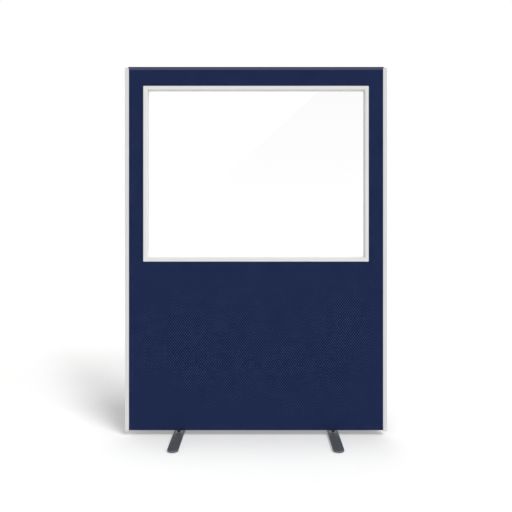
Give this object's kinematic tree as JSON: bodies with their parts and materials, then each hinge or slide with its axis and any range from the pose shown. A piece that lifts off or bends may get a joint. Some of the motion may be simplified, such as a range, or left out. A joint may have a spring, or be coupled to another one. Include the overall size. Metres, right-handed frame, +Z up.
{
  "type": "acoustic divider screen",
  "caption": "Free-standing fabric-covered acoustic screen with a framed clear vision window in its upper half, pale side trims and flat swivelling stabiliser feet.",
  "frame": {"origin": "on the floor, under the middle of the panel's width and thickness", "axes": "+X to the right seen from the front, -Y towards the front, +Z up"},
  "size_m": [1.2, 0.48, 1.69],
  "materials": {
    "timber": "matte",
    "absorber": "matte",
    "fibreboard": "matte",
    "navy_cloth": "matte",
    "trim_grey": "satin",
    "cap_grey": "satin",
    "window_frame_white": "satin",
    "bare_aluminium": "satin",
    "capping_blue": "satin",
    "strip_dark": "satin",
    "underside_black": "matte",
    "clear_pane": "polished",
    "gasket_grey": "matte",
    "zinc_steel": "satin",
    "black_steel": "satin",
    "foot_graphite": "satin",
    "pad_rubber": "matte"
  },
  "bodies": {
    "screen": {"core_stile_left": "timber", "core_stile_right": "timber", "core_top_rail": "timber", "core_mid_rail": "timber", "core_bottom_rail": "timber", "acoustic_infill": "absorber", "board_front": "fibreboard", "board_back": "fibreboard", "fabric_front": "navy_cloth", "fabric_back": "navy_cloth", "top_cap": "capping_blue", "top_slot_strip": "strip_dark", "bottom_strip": "underside_black", "window_pane": "clear_pane", "foot_inserts": "zinc_steel", "foot_spacers": "underside_black", "foot_bolts": "black_steel", "foot_washers": "black_steel", "bezel_keys_front": "bare_aluminium", "bezel_keys_back": "bare_aluminium", "gasket_front": "gasket_grey", "gasket_back": "gasket_grey", "setting_blocks": "pad_rubber", "trim_left": "trim_grey", "trim_screws_left": "zinc_steel", "trim_cap_top_left": "cap_grey", "trim_cap_bottom_left": "cap_grey", "trim_right": "trim_grey", "trim_screws_right": "zinc_steel", "trim_cap_top_right": "cap_grey", "trim_cap_bottom_right": "cap_grey", "window_bezel_front_top": "window_frame_white", "window_bezel_front_bottom": "window_frame_white", "window_bezel_front_left": "window_frame_white", "window_bezel_front_right": "window_frame_white", "window_bezel_back_top": "window_frame_white", "window_bezel_back_bottom": "window_frame_white", "window_bezel_back_left": "window_frame_white", "window_bezel_back_right": "window_frame_white"},
    "left_foot": {"foot_bar_left": "foot_graphite", "foot_pads_left": "pad_rubber"},
    "right_foot": {"foot_bar_right": "foot_graphite", "foot_pads_right": "pad_rubber"}
  },
  "joints": [
    {"name": "left_foot_swivel", "type": "hinge", "parent": "screen", "child": "left_foot", "pos_m": [-0.355, 0, 0.011], "axis": [0, 0, 1], "range_deg": [-90, 90]},
    {"name": "right_foot_swivel", "type": "hinge", "parent": "screen", "child": "right_foot", "pos_m": [0.355, 0, 0.011], "axis": [0, 0, 1], "range_deg": [-90, 90]}
  ]
}
